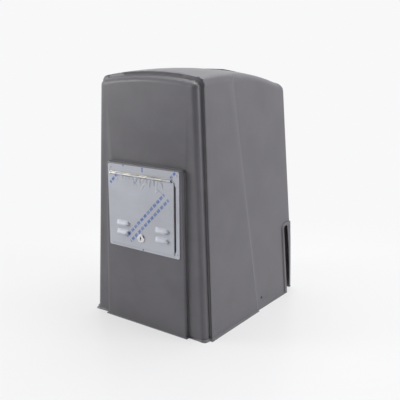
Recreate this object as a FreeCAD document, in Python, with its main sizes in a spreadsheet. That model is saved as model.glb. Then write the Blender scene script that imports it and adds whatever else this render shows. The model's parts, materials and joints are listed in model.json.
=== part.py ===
import FreeCAD, Part
import math
import os
from types import SimpleNamespace

import Sketcher
from FreeCAD import Placement, Rotation, Vector

# Sliding gate operator with a chain drive: a moulded cover with a lockable
# access door over a steel chassis that carries the motor, the worm reducer,
# the chain wheels and the electrics.
# Frame: +Z up, +X along the gate, +Y towards the gate.  The origin is the
# centre of the four anchor slots, on the underside of the base plate.

doc = FreeCAD.newDocument("SlidingGateOperator")

# ---------------------------------------------------------------- sizes ----
# Millimetres and degrees.  Distances to the front are counted positive
# towards -Y where the name says front.
DIMENSIONS = [
    # moulded cover
    ("cover_half_width", 185.5),
    ("hood_front", 203.2),
    ("nose_front", 217.0),
    ("nose_inset", 8.0),
    ("rear_face", 212.0),
    ("cover_wall", 4.0),
    ("side_draft", 2.34),
    ("front_draft", 0.27),
    ("rear_draft", 4.0),
    ("step_line", 14.2),
    ("step_depth", 5.1),
    ("step_ramp", 10.0),
    ("step_lean", 9.28),
    ("roof_height", 616.0),
    ("roof_peak_front", 90.0),
    ("roof_radius_across", 1100.0),
    ("roof_radius_along", 1000.0),
    ("roof_edge_radius", 22.0),
    ("crest_rise", 5.7),
    ("crest_front", 10.0),
    ("crest_rear", 145.0),
    ("crest_half_width", 136.0),
    ("crest_radius_across", 630.0),
    ("crest_radius_along", 823.0),
    ("nose_corner_radius", 22.0),
    ("nose_edge_radius", 16.0),
    ("rear_corner_radius", 30.0),
    ("lip_out", 3.2),
    ("lip_height", 5.0),
    ("lip_blend", 4.0),
    # raised field on the nose that carries the access door
    ("field_half_width", 128.0),
    ("field_front", 229.0),
    ("field_above_frame", 10.0),
    ("field_corner_radius", 11.0),
    ("field_edge_radius", 6.0),
    # chain slots in the rear corners
    ("slot_front", 171.0),
    ("slot_inner", 165.0),
    ("slot_top", 195.0),
    ("slot_rim_width", 8.5),
    ("slot_rim_rise", 3.0),
    ("slot_corner_radius", 8.0),
    # cover screws
    ("cover_screw_radius", 4.0),
    ("cover_screw_back", 28.0),
    ("cover_screw_height", 31.0),
    # access door
    ("frame_half_width", 110.0),
    ("frame_bottom", 192.5),
    ("frame_above_hinge", 22.5),
    ("frame_thickness", 1.5),
    ("frame_corner_radius", 5.0),
    ("opening_left", 95.0),
    ("opening_right", 100.5),
    ("opening_bottom", 206.0),
    ("opening_below_hinge", 8.5),
    ("opening_corner_radius", 6.0),
    ("leaf_left", 105.0),
    ("leaf_right", 96.0),
    ("leaf_bottom", 199.0),
    ("leaf_thickness", 1.5),
    ("leaf_gap", 0.3),
    ("leaf_corner_radius", 3.0),
    ("hinge_height", 374.5),
    ("hinge_left", 102.0),
    ("hinge_right", 88.0),
    ("hinge_radius", 2.6),
    ("hinge_pin_radius", 1.2),
    ("hinge_fit", 0.05),
    ("knuckle_gap", 0.6),
    ("rivet_radius", 3.2),
    ("rivet_rise", 1.4),
    ("rivet_inset", 9.0),
    ("louvre_offset", 61.0),
    ("louvre_length", 33.0),
    ("louvre_radius", 5.0),
    ("louvre_wall", 1.2),
    ("louvre_upper", 252.0),
    ("louvre_lower", 228.0),
    ("lock_left", 5.0),
    ("lock_height", 224.5),
    ("lock_head_radius", 11.0),
    ("lock_head_thickness", 3.0),
    ("lock_barrel_radius", 9.5),
    ("lock_plug_radius", 6.0),
    ("lock_fit", 0.08),
    ("lock_cam_length", 27.0),
    ("lock_cam_width", 14.0),
    ("lock_cam_thickness", 2.5),
    ("lock_nut_thickness", 2.0),
    ("lock_depth", 9.0),
    # base plate
    ("base_half_width", 165.0),
    ("base_half_depth", 195.0),
    ("base_thickness", 8.0),
    ("base_corner_radius", 14.0),
    ("anchor_edge_across", 45.0),
    ("anchor_edge_along", 23.0),
    ("anchor_slot_length", 32.0),
    ("anchor_slot_radius", 7.0),
    ("conduit_half_width", 60.0),
    ("conduit_front", 88.0),
    ("conduit_rear", 50.0),
    ("conduit_corner_radius", 8.0),
    ("tab_thickness", 2.5),
    ("tab_clearance", 0.6),
    ("tab_width", 30.0),
    ("tab_foot", 28.0),
    ("tab_above_screw", 14.0),
    ("tab_hole_radius", 2.5),
    # drive bracket, reducer and chain wheels
    ("bracket_front", 140.0),
    ("bracket_thickness", 8.0),
    ("bracket_half_width", 125.0),
    ("bracket_top", 250.0),
    ("gusset_thickness", 5.0),
    ("gusset_depth", 90.0),
    ("shelf_front", 12.0),
    ("shelf_thickness", 6.0),
    ("shaft_height", 112.0),
    ("shaft_radius", 12.5),
    ("shaft_end", 194.0),
    ("shaft_fit", 0.05),
    ("bearing_outer_radius", 23.5),
    ("bearing_width", 14.0),
    ("chain_plane", 182.0),
    ("chain_pitch", 12.7),
    ("chain_roller_radius", 3.96),
    ("sprocket_teeth", 20.0),
    ("sprocket_thickness", 7.2),
    ("sprocket_hub_radius", 24.0),
    ("sprocket_hub_length", 24.0),
    ("idler_offset", 88.0),
    ("idler_height", 104.0),
    ("idler_radius", 28.0),
    ("idler_flange_radius", 33.0),
    ("idler_width", 18.0),
    ("idler_axle_radius", 6.0),
    ("gearbox_half_width", 62.0),
    ("gearbox_front", 62.0),
    ("gearbox_bottom", 44.0),
    ("gearbox_top", 205.0),
    ("gearbox_wall", 8.0),
    ("gearbox_cover_thickness", 8.0),
    ("wheel_radius", 46.0),
    ("wheel_width", 24.0),
    ("worm_radius", 12.0),
    ("worm_gap", 0.6),
    ("worm_shaft_radius", 8.0),
    ("running_gap", 0.3),
    # motor and belt
    ("motor_radius", 68.0),
    ("motor_back", 62.0),
    ("motor_lift", 6.0),
    ("motor_left", 70.0),
    ("motor_right", 95.0),
    ("motor_bell_length", 26.0),
    ("motor_shaft_radius", 8.0),
    ("belt_plane", 98.0),
    ("belt_width", 10.0),
    ("belt_height", 8.0),
    ("small_pulley_radius", 22.0),
    ("large_pulley_radius", 36.0),
    ("pulley_width", 20.0),
    # electrics
    ("panel_front", 45.0),
    ("panel_thickness", 2.0),
    ("panel_half_width", 130.0),
    ("panel_top", 560.0),
    ("panel_flange", 20.0),
    ("board_half_width", 105.0),
    ("board_bottom", 395.0),
    ("board_top", 545.0),
    ("board_thickness", 1.6),
    ("board_standoff", 10.0),
    ("battery_length", 151.0),
    ("battery_depth", 65.0),
    ("battery_height", 94.0),
    ("battery_front", 160.0),
    ("tray_thickness", 2.0),
    ("transformer_radius", 34.0),
    ("transformer_height", 48.0),
    ("transformer_clearance", 0.961),
    ("transformer_back", 8.0),
    # controls behind the access door
    ("controls_front", 168.0),
    ("controls_left", 90.0),
    ("controls_right", 18.0),
    ("controls_bottom", 214.0),
    ("controls_top", 362.0),
    ("controls_thickness", 2.0),
    ("button_radius", 8.0),
    ("button_rise", 7.0),
    ("button_travel", 3.0),
    ("button_spacing", 34.0),
    ("rocker_tilt", 8.0),
    ("release_right", 52.0),
    ("release_height", 178.0),
    ("release_radius", 6.0),
    ("release_lever_length", 95.0),
]

sheet = doc.addObject("Spreadsheet::Sheet", "Sizes")
for row, (alias, value) in enumerate(DIMENSIONS, start=1):
    sheet.set(f"A{row}", alias)
    sheet.set(f"B{row}", str(value))
    sheet.setAlias(f"B{row}", alias)
doc.recompute()


class Size:
    """A length or angle with its value and the sheet expression that gives it."""

    def __init__(self, value, text):
        self.value = value
        self.text = text

    def _join(self, other, sign, value):
        return Size(value, f"({self.text} {sign} {as_size(other).text})")

    def __add__(self, other):
        return self._join(other, "+", self.value + as_size(other).value)

    def __sub__(self, other):
        return self._join(other, "-", self.value - as_size(other).value)

    def __mul__(self, other):
        return self._join(other, "*", self.value * as_size(other).value)

    def __truediv__(self, other):
        return self._join(other, "/", self.value / as_size(other).value)

    def __radd__(self, other):
        return as_size(other) + self

    def __rsub__(self, other):
        return as_size(other) - self

    def __rmul__(self, other):
        return as_size(other) * self

    def __rtruediv__(self, other):
        return as_size(other) / self

    def __neg__(self):
        return Size(-self.value, f"(-{self.text})")


def as_size(number):
    if isinstance(number, Size):
        return number
    return Size(float(number), f"({float(number)})")


def tan(angle):
    return Size(math.tan(math.radians(angle.value)), f"tan({angle.text} * 1deg)")


def sin(angle):
    return Size(math.sin(math.radians(angle.value)), f"sin({angle.text} * 1deg)")


d = SimpleNamespace(**{alias: Size(float(sheet.get(alias)), f"Sizes.{alias}")
                       for alias, _ in DIMENSIONS})

# -------------------------------------------------------------- helpers ----
AXIS_TURN = {
    "X": Rotation(Vector(0, 1, 0), 90),
    "Y": Rotation(Vector(1, 0, 0), -90),
    "Z": Rotation(),
}
nodes = []


def node(shape_object, label):
    """Name a finished sub-part and keep it for export."""
    shape_object.Label = label
    nodes.append(shape_object)
    return shape_object


def bind(target, prop, size):
    target.setExpression(prop, as_size(size).text)


def put_at(target, x, y, z):
    for letter, size in zip("xyz", (x, y, z)):
        bind(target, f"Placement.Base.{letter}", size)
    return target


def box(x, y, z):
    """Block between the (low, high) pairs x, y and z."""
    block = doc.addObject("Part::Box", "Block")
    for prop, (low, high) in zip(("Length", "Width", "Height"), (x, y, z)):
        bind(block, prop, high - low)
    return put_at(block, x[0], y[0], z[0])


def rod(axis, centre, radius, low, high):
    """Cylinder along an axis; centre is the pair of its other two coordinates."""
    cylinder = doc.addObject("Part::Cylinder", "Rod")
    cylinder.Placement = Placement(Vector(), AXIS_TURN[axis])
    bind(cylinder, "Radius", radius)
    bind(cylinder, "Height", high - low)
    first, second = centre
    place = {"X": (low, first, second), "Y": (first, low, second), "Z": (first, second, low)}
    return put_at(cylinder, *place[axis])


def cone(axis, centre, radius_low, radius_high, low, high):
    taper = doc.addObject("Part::Cone", "Taper")
    taper.Placement = Placement(Vector(), AXIS_TURN[axis])
    bind(taper, "Radius1", radius_low)
    bind(taper, "Radius2", radius_high)
    bind(taper, "Height", high - low)
    first, second = centre
    place = {"X": (low, first, second), "Y": (first, low, second), "Z": (first, second, low)}
    return put_at(taper, *place[axis])


def ball(x, y, z, radius):
    sphere = doc.addObject("Part::Sphere", "Ball")
    bind(sphere, "Radius", radius)
    return put_at(sphere, x, y, z)


def join(*shapes):
    fused = doc.addObject("Part::MultiFuse", "Join")
    fused.Shapes = list(shapes)
    fused.Refine = True
    return fused


def group(*shapes):
    """Separate solids kept as one sub-part."""
    compound = doc.addObject("Part::Compound", "Group")
    compound.Links = list(shapes)
    return compound


def cut(base, *tools):
    result = doc.addObject("Part::Cut", "Cut")
    result.Base = base
    result.Tool = tools[0] if len(tools) == 1 else group(*tools)
    result.Refine = True
    return result


def common(first, second):
    result = doc.addObject("Part::Common", "Common")
    result.Base = first
    result.Tool = second
    result.Refine = True
    return result


def rounded(base, radius, choose):
    """Fillet the edges of base for which choose(edge) is true."""
    doc.recompute()
    fillet = doc.addObject("Part::Fillet", "Rounded")
    fillet.Base = base
    size = radius.value
    fillet.Edges = [(index, size, size)
                    for index, edge in enumerate(base.Shape.Edges, start=1) if choose(edge)]
    base.Visibility = False
    return fillet


def runs_along(edge, axis, tolerance=0.2):
    """True for an edge whose ends differ mostly along one axis."""
    if len(edge.Vertexes) < 2:
        return False
    span = edge.Vertexes[-1].Point - edge.Vertexes[0].Point
    if span.Length < 1e-6:
        return False
    parts = [abs(span.x), abs(span.y), abs(span.z)]
    along = parts.pop("XYZ".index(axis))
    return max(parts) < tolerance * along


def middle(edge):
    return edge.valueAt((edge.FirstParameter + edge.LastParameter) / 2)


def origin_plane(body, role):
    return next(plane for plane in body.Origin.OriginFeatures if plane.Role == role)


def new_body(name):
    return doc.addObject("PartDesign::Body", name)


def new_sketch(body, role, offset=0.0):
    """Sketch on a body's own origin plane, moved along the plane's normal."""
    sketch = body.newObject("Sketcher::SketchObject", "Sketch")
    sketch.AttachmentSupport = [(origin_plane(body, role), "")]
    sketch.MapMode = "FlatFace"
    bind(sketch, "AttachmentOffset.Base.z", offset)
    return sketch


def dimension(sketch, kind, geometry, point, size):
    """Distance of a sketch point from the sketch origin, bound to the sheet."""
    size = as_size(size)
    index = sketch.addConstraint(
        Sketcher.Constraint(kind, -1, 1, geometry, point, size.value))
    sketch.setExpression(f"Constraints[{index}]", size.text)


def draw_polygon(sketch, points):
    """Closed outline whose corners are all dimensioned from the sketch origin."""
    flat = [Vector(as_size(u).value, as_size(v).value, 0) for u, v in points]
    first = sketch.GeometryCount
    count = len(flat)
    for index in range(count):
        start, end = flat[index], flat[(index + 1) % count]
        sketch.addGeometry(Part.LineSegment(start, end), False)
    for index in range(count):
        following = first + (index + 1) % count
        sketch.addConstraint(Sketcher.Constraint("Coincident", first + index, 2, following, 1))
    for index, (u, v) in enumerate(points):
        dimension(sketch, "DistanceX", first + index, 1, u)
        dimension(sketch, "DistanceY", first + index, 1, v)


def draw_circle(sketch, u, v, radius):
    u, v, radius = as_size(u), as_size(v), as_size(radius)
    centre = Vector(u.value, v.value, 0)
    geometry = sketch.addGeometry(Part.Circle(centre, Vector(0, 0, 1), radius.value), False)
    index = sketch.addConstraint(Sketcher.Constraint("Radius", geometry, radius.value))
    sketch.setExpression(f"Constraints[{index}]", radius.text)
    dimension(sketch, "DistanceX", geometry, 3, u)
    dimension(sketch, "DistanceY", geometry, 3, v)


def pad(body, sketch, length, reverse=False):
    feature = body.newObject("PartDesign::Pad", "Pad")
    feature.Profile = sketch
    feature.Reversed = reverse
    bind(feature, "Length", length)
    doc.recompute()
    return feature


def pocket(body, sketch, length, reverse=False):
    before = body.Shape.Volume
    feature = body.newObject("PartDesign::Pocket", "Pocket")
    feature.Profile = sketch
    feature.Reversed = reverse
    bind(feature, "Length", length)
    doc.recompute()
    if body.Shape.Volume >= before:
        raise RuntimeError(f"{body.Label}: a pocket removed nothing")
    return feature


def prism(name, base_points, top_points, low, high):
    """Straight-sided solid between two outlines of equal corner count, low and high."""
    body = new_body(name)
    lower = new_sketch(body, "XY_Plane", low)
    draw_polygon(lower, base_points)
    upper = new_sketch(body, "XY_Plane", high)
    draw_polygon(upper, top_points)
    loft = body.newObject("PartDesign::AdditiveLoft", "Loft")
    loft.Profile = lower
    loft.Sections = [upper]
    loft.Ruled = True
    return body


def revolved(name, axis_name, centre, profile):
    """Solid of revolution: profile points are (position along the axis, radius)."""
    body = new_body(name)
    sketch = new_sketch(body, "XZ_Plane")
    draw_polygon(sketch, [(radius, along) for along, radius in profile])
    turned = body.newObject("PartDesign::Revolution", "Revolution")
    turned.Profile = sketch
    turned.ReferenceAxis = (sketch, ["V_Axis"])
    turned.Angle = 360
    body.Placement = Placement(Vector(), AXIS_TURN[axis_name])
    first, second = centre
    place = {"X": (0, first, second), "Y": (first, 0, second), "Z": (first, second, 0)}
    return put_at(body, *place[axis_name])


def mirrored(source):
    """The same shape on the other side of the plane X = 0."""
    copy = doc.addObject("Part::Mirroring", "Mirrored")
    copy.Source = source
    copy.Normal = Vector(1, 0, 0)
    return copy


def wedge(x, front, height, x_top, front_top):
    """Block with flat drafted sides; front pairs count towards -Y, as (low, high)."""
    block = doc.addObject("Part::Wedge", "Wedge")
    block.Placement = Placement(Vector(), Rotation(Vector(1, 0, 0), 90))
    values = {"Xmin": x[0], "Xmax": x[1], "Zmin": front[0], "Zmax": front[1],
              "Ymin": height[0], "Ymax": height[1],
              "X2min": x_top[0], "X2max": x_top[1], "Z2min": front_top[0], "Z2max": front_top[1]}
    for prop, size in values.items():
        bind(block, prop, size)
    return block


def tapered(half_width, front, rear, sections):
    """Symmetric block; each of two sections is (height, side, front and rear growth)."""
    (low, side, ahead, behind), (high, side_top, ahead_top, behind_top) = sections
    return wedge((-(half_width + side), half_width + side), (-(rear + behind), front + ahead),
                 (low, high),
                 (-(half_width + side_top), half_width + side_top),
                 (-(rear + behind_top), front + ahead_top))


# ---------------------------------------------------------------- cover ----
frame_top = d.hinge_height + d.frame_above_hinge
field_top = frame_top + d.field_above_frame
opening_top = d.hinge_height - d.opening_below_hinge
form_height = d.roof_height + 30
side_lean = tan(d.side_draft)
front_lean = tan(d.front_draft)
rear_lean = tan(d.rear_draft)
step_slope = tan(d.step_lean)
nose_depth_inside = 60
roof_zone = d.roof_height.value - 150


def crown(height, radius_across, radius_along):
    """Solid under a roof that is arched both across and along the cover."""
    body = new_body("Crown")
    sketch = new_sketch(body, "YZ_Plane")
    bind(sketch, "AttachmentOffset.Base.y", height - radius_across)
    reach = 400
    centre_u = -d.roof_peak_front
    centre_v = radius_across - radius_along
    rise = math.sqrt(radius_along.value ** 2 - (reach - centre_u.value) ** 2)
    fall = math.sqrt(radius_along.value ** 2 - (reach + centre_u.value) ** 2)
    right_top = Vector(reach, centre_v.value + rise, 0)
    left_top = Vector(-reach, centre_v.value + fall, 0)
    middle_v = Vector(centre_u.value, centre_v.value + radius_along.value, 0)
    sketch.addGeometry(Part.Arc(right_top, middle_v, left_top), False)
    sketch.addGeometry(Part.LineSegment(left_top, Vector(-reach, 0, 0)), False)
    sketch.addGeometry(Part.LineSegment(Vector(-reach, 0, 0), Vector(reach, 0, 0)), False)
    sketch.addGeometry(Part.LineSegment(Vector(reach, 0, 0), right_top), False)
    for index in range(4):
        sketch.addConstraint(
            Sketcher.Constraint("Coincident", index, 2, (index + 1) % 4, 1))
    sketch.addConstraint(Sketcher.Constraint("Vertical", 1))
    sketch.addConstraint(Sketcher.Constraint("Vertical", 3))
    index = sketch.addConstraint(Sketcher.Constraint("Radius", 0, radius_along.value))
    sketch.setExpression(f"Constraints[{index}]", radius_along.text)
    dimension(sketch, "DistanceX", 0, 3, centre_u)
    dimension(sketch, "DistanceY", 0, 3, centre_v)
    dimension(sketch, "DistanceX", 2, 1, -reach)
    dimension(sketch, "DistanceX", 2, 2, reach)
    dimension(sketch, "DistanceY", 2, 1, 0)
    dimension(sketch, "DistanceY", 2, 2, 0)
    turned = body.newObject("PartDesign::Revolution", "Revolution")
    turned.Profile = sketch
    turned.ReferenceAxis = (sketch, ["H_Axis"])
    turned.Angle = 360
    return body


def upright(edge):
    return runs_along(edge, "Z")


def full_height(side=0, ahead=0, behind=0):
    """Sections of a block from the floor to above the roof, with the cover's drafts."""
    return [(0, side, ahead, behind),
            (form_height, side - form_height * side_lean, ahead - form_height * front_lean,
             behind - form_height * rear_lean)]


def at_roof(edge, rear_limit, front_limit):
    """Edges where the roof meets the walls, apart from the buried end faces."""
    if min(vertex.Point.z for vertex in edge.Vertexes) < roof_zone:
        return False
    place = middle(edge)
    return front_limit < place.y < rear_limit


def hood(inset, ramp):
    """Outer form of the cover moved inwards by inset; ramp cuts the slanted side step."""
    step = d.step_line if ramp else d.step_line - d.step_ramp
    roof = crown(d.roof_height - inset, d.roof_radius_across - inset,
                 d.roof_radius_along - inset)
    edge = d.roof_edge_radius - inset
    band_sections = [(0, 0, 0, 0),
                     (form_height, -form_height * side_lean, -form_height * front_lean,
                      -form_height * step_slope)]
    band = tapered(d.cover_half_width - inset, d.hood_front - inset, step,
                   band_sections)
    band = common(band, roof)
    doc.recompute()
    band = rounded(band, edge, lambda e: at_roof(e, 900, -900) and runs_along(e, "Y"))
    if ramp:
        band = cut(band, step_ramp(), mirrored(step_ramp()))

    nose = tapered(d.cover_half_width - d.nose_inset - inset, d.nose_front - inset,
                   nose_depth_inside - d.hood_front, full_height())
    nose = rounded(nose, d.nose_corner_radius - inset,
                   lambda e: upright(e) and middle(e).y < -d.hood_front.value + inset.value + 5)
    low_roof = crown(d.roof_height - d.nose_inset - inset, d.roof_radius_across - inset,
                     d.roof_radius_along - inset)
    nose = common(nose, low_roof)
    doc.recompute()
    back_of_nose = nose_depth_inside - d.hood_front.value - form_height.value * rear_lean.value - 1
    nose = rounded(nose, d.nose_edge_radius - inset,
                   lambda e: at_roof(e, 900, -900) and (
                       runs_along(e, "Y") or middle(e).y < back_of_nose - 20))

    rear_start = d.hood_front - nose_depth_inside
    tail = tapered(d.cover_half_width - d.step_depth - inset, rear_start,
                   d.rear_face - inset, full_height())
    tail = rounded(tail, d.rear_corner_radius - inset, lambda e: upright(e) and middle(e).y > 0)
    tail = common(tail, roof)
    doc.recompute()
    tail = rounded(tail, edge, lambda e: at_roof(e, 900, -rear_start.value + 30))

    return [band, nose, tail]


def crest():
    """Shallow raised lens across the rear of the roof."""
    lens_roof = crown(d.roof_height + d.crest_rise, d.crest_radius_across,
                      d.crest_radius_along)
    block = box((-d.crest_half_width, d.crest_half_width), (-d.crest_front, d.crest_rear),
                (d.roof_height - 2 * d.roof_edge_radius, d.roof_height + 2 * d.crest_rise))
    return common(block, lens_roof)


def step_ramp():
    """Slanted wedge that leaves the ramp between the band and the rear of the cover."""
    inner = d.cover_half_width - d.step_depth
    outer = d.cover_half_width + d.step_depth
    ahead = d.step_line - 2 * d.step_ramp

    def outline(height):
        side = -height * side_lean
        back = -height * step_slope
        return [(inner + side, d.step_line + back), (outer + side, ahead + back),
                (outer + side, d.step_line + back + 5), (inner + side, d.step_line + back + 5)]

    return prism("StepRamp", outline(as_size(-5)), outline(form_height), -5, form_height)


def lip(half_width, front, rear, corner_radius, choose):
    """Flared foot along the lower edge of one stretch of the cover."""
    foot = tapered(half_width, front, rear,
                   [(0, d.lip_out, d.lip_out, d.lip_out), (d.lip_height, 0, 0, 0)])
    if corner_radius is None:
        return foot
    doc.recompute()
    return rounded(foot, corner_radius, lambda e: upright_ish(e) and choose(middle(e)))


def upright_ish(edge):
    return abs(edge.Vertexes[0].Point.z - edge.Vertexes[-1].Point.z) > 1


def door_field(inset):
    """Raised field on the nose around and below the access door."""
    block = tapered(d.field_half_width - inset, d.field_front - inset,
                    20 - d.nose_front, [(0, 0, 0, 0), (field_top - inset, 0, 0, 0)])
    block = rounded(block, d.field_corner_radius - inset,
                    lambda e: runs_along(e, "Y") and middle(e).z > 50)
    front = -(d.field_front - inset).value
    return rounded(block, d.field_edge_radius - inset,
                   lambda e: abs(middle(e).y - front) < 0.01 and middle(e).z > 1)


def slot_block(grow):
    """Solid of the corner cut-out that the chain runs through; grow adds its rim."""
    top = d.slot_top + grow
    across = (d.slot_inner - grow, d.cover_half_width + 100)
    ahead = grow - d.slot_front
    beyond = -(d.rear_face + 100)
    block = wedge(across, (beyond, ahead), (-5, top), across, (beyond, ahead + top * rear_lean))
    limit = d.rear_face.value + 99
    return rounded(block, d.slot_corner_radius + grow,
                   lambda e: middle(e).z > top.value - 0.01 and middle(e).y < limit
                   and middle(e).x < d.cover_half_width.value + 99)


def build_cover():
    outside = hood(as_size(0), True)
    outside.append(crest())
    outside.append(door_field(as_size(0)))
    outside.append(lip(d.cover_half_width, d.hood_front, d.step_line - d.step_ramp, None, None))
    outside.append(lip(d.cover_half_width - d.nose_inset, d.nose_front, -d.hood_front + 40,
                       d.nose_corner_radius, lambda at: at.y < -d.hood_front.value))
    outside.append(lip(d.cover_half_width - d.step_depth, 0, d.rear_face,
                       d.rear_corner_radius, lambda at: at.y > 10))
    outside.append(lip(d.field_half_width, d.field_front, 20 - d.nose_front, None, None))
    rim_form = tapered(d.cover_half_width - d.step_depth + d.slot_rim_rise, 0,
                       d.rear_face + d.slot_rim_rise, full_height())
    rim_form = rounded(rim_form, d.rear_corner_radius + d.slot_rim_rise,
                       lambda e: upright(e) and middle(e).y > 50)
    rim = common(rim_form, slot_block(d.slot_rim_width))
    outside += [rim, mirrored(rim)]

    inside = hood(d.cover_wall, False)
    inside.append(door_field(d.cover_wall))
    opening = slot_block(as_size(0))
    screws = rod("X", (d.cover_screw_back, d.cover_screw_height), d.cover_screw_radius,
                 -d.cover_half_width - 10, d.cover_half_width + 10)
    door_hole = box((-d.opening_left, d.opening_right), (-d.field_front - 10, 30 - d.nose_front),
                    (d.opening_bottom, opening_top))
    door_hole = rounded(door_hole, d.opening_corner_radius, lambda e: runs_along(e, "Y"))
    cover = cut(join(*outside), join(*inside), opening, mirrored(opening), screws, door_hole)
    return node(cover, "cover")


build_cover()

# ---------------------------------------------------- access door set ----
frame_front = d.field_front + d.frame_thickness
leaf_back = frame_front + d.leaf_gap
leaf_front = leaf_back + d.leaf_thickness
hinge_forward = frame_front + d.hinge_radius + d.leaf_gap
leaf_top = d.hinge_height - d.hinge_radius - d.knuckle_gap
hinge_centre = (-hinge_forward, d.hinge_height)
lock_centre = (-d.lock_left, d.lock_height)
lock_back = d.field_front - d.lock_depth
rivet_places = [
    (d.frame_half_width - d.rivet_inset, frame_top - d.rivet_inset),
    (d.frame_half_width - d.rivet_inset, d.frame_bottom + d.rivet_inset),
    (d.rivet_inset - d.frame_half_width, frame_top - d.rivet_inset),
]
KNUCKLES = 8


def door_frame_plate():
    plate = box((-d.frame_half_width, d.frame_half_width), (-frame_front, -d.field_front),
                (d.frame_bottom, frame_top))
    plate = rounded(plate, d.frame_corner_radius, lambda e: runs_along(e, "Y"))
    hole = box((-d.opening_left, d.opening_right), (-frame_front - 1, -d.field_front + 1),
               (d.opening_bottom, opening_top))
    hole = rounded(hole, d.opening_corner_radius, lambda e: runs_along(e, "Y"))
    return node(cut(plate, hole), "door_frame_plate")


def door_rivets():
    heads = [cone("Y", place, d.rivet_radius * 0.55, d.rivet_radius,
                  -frame_front - d.rivet_rise, -frame_front) for place in rivet_places]
    return node(group(*heads), "door_rivets")


def knuckle(index, tab_low, tab_high):
    """One hinge knuckle with its tab down to the leaf or up to the fixed strip."""
    pitch = (d.hinge_left + d.hinge_right) / KNUCKLES
    low = pitch * index - d.hinge_left + d.knuckle_gap / 2
    high = pitch * (index + 1) - d.hinge_left - d.knuckle_gap / 2
    barrel = rod("X", hinge_centre, d.hinge_radius, low, high)
    tab = box((low, high), (-leaf_front, -leaf_back), (tab_low, tab_high))
    return [barrel, tab]


def access_door():
    leaf = box((-d.leaf_left, d.leaf_right), (-leaf_front, -leaf_back), (d.leaf_bottom, leaf_top))
    leaf = rounded(leaf, d.leaf_corner_radius, lambda e: runs_along(e, "Y") and middle(e).z < 300)
    pieces = [leaf]
    for index in range(1, KNUCKLES, 2):
        pieces += knuckle(index, leaf_top, d.hinge_height)
    hoods = []
    slots = []
    for side in (-1, 1):
        for height in (d.louvre_upper, d.louvre_lower):
            middle_x = d.louvre_offset * side
            low, high = middle_x - d.louvre_length / 2, middle_x + d.louvre_length / 2
            place = (-leaf_front, height)
            inner = d.louvre_radius - d.louvre_wall
            shell = join(rod("X", place, d.louvre_radius, low, high),
                         ball(low, -leaf_front, height, d.louvre_radius),
                         ball(high, -leaf_front, height, d.louvre_radius))
            hollow = join(rod("X", place, inner, low, high),
                          ball(low, -leaf_front, height, inner),
                          ball(high, -leaf_front, height, inner))
            half = box((low - d.louvre_radius, high + d.louvre_radius),
                       (-leaf_front - d.louvre_radius, -leaf_front),
                       (height, height + d.louvre_radius))
            hoods.append(cut(common(shell, half), hollow))
            slots.append(box((low - inner, high + inner), (-leaf_front - 1, -leaf_back + 1),
                             (height - d.louvre_wall, height + inner)))
    bore = rod("X", hinge_centre, d.hinge_pin_radius + d.hinge_fit, -200, 200)
    lock_hole = rod("Y", lock_centre, d.lock_barrel_radius + d.lock_fit,
                    -leaf_front - 1, -leaf_back + 1)
    door = cut(join(*pieces), bore, lock_hole, *slots)
    return node(join(door, *hoods), "access_door")


def hinge_strip():
    strip = box((-d.hinge_left, d.hinge_right), (-leaf_back - 0.9, -frame_front),
                (d.hinge_height + d.hinge_radius + 0.4, d.hinge_height + d.hinge_radius + 7))
    pieces = [strip]
    for index in range(0, KNUCKLES, 2):
        barrel, tab = knuckle(index, d.hinge_height, d.hinge_height + d.hinge_radius + 1)
        pieces += [barrel, tab]
    bore = rod("X", hinge_centre, d.hinge_pin_radius + d.hinge_fit, -200, 200)
    return node(cut(join(*pieces), bore), "hinge_frame_strip")


def hinge_pin():
    pin = rod("X", hinge_centre, d.hinge_pin_radius, -d.hinge_left, d.hinge_right)
    return node(pin, "hinge_pin")


def cam_lock():
    head = revolved("LockHead", "Y", lock_centre,
                    [(-leaf_front - d.lock_head_thickness, 0),
                     (-leaf_front - d.lock_head_thickness, d.lock_head_radius - 1.5),
                     (-leaf_front - d.lock_head_thickness + 1.5, d.lock_head_radius),
                     (-leaf_front, d.lock_head_radius),
                     (-leaf_front, d.lock_barrel_radius),
                     (-lock_back, d.lock_barrel_radius),
                     (-lock_back, 0)])
    bore = rod("Y", lock_centre, d.lock_plug_radius + d.lock_fit, -leaf_front - 20, 0)
    node(cut(head, bore), "lock_barrel")
    nut = rod("Y", lock_centre, d.lock_barrel_radius + 3.5, -leaf_back, d.lock_nut_thickness - leaf_back)
    nut_bore = rod("Y", lock_centre, d.lock_barrel_radius + 0.01, -leaf_front - 20, 0)
    node(cut(nut, nut_bore), "lock_nut")
    cam_back = d.lock_cam_thickness - lock_back + d.running_gap
    plug = join(rod("Y", lock_centre, d.lock_plug_radius, -leaf_front - d.lock_head_thickness + 0.4,
                    d.running_gap - lock_back),
                rod("Y", lock_centre, d.lock_plug_radius - 2, d.running_gap - lock_back,
                    cam_back + 3))
    keyway = box((-d.lock_left - 0.7, -d.lock_left + 0.7), (-leaf_front - 10, -leaf_front + 6),
                 (d.lock_height - 4, d.lock_height + 4))
    node(cut(plug, keyway), "lock_plug")
    half = d.lock_cam_width / 2
    cam = box((-d.lock_left - half, d.lock_cam_length - d.lock_left),
              (d.running_gap - lock_back, cam_back), (d.lock_height - half, d.lock_height + half))
    cam = rounded(cam, half - 0.5, lambda e: runs_along(e, "Y") and middle(e).x < -d.lock_left.value)
    cam_hole = rod("Y", lock_centre, d.lock_plug_radius - 2, -leaf_front - 20, 0)
    node(cut(cam, cam_hole), "lock_cam")


door_frame_plate()
door_rivets()
access_door()
hinge_strip()
hinge_pin()
cam_lock()

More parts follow.
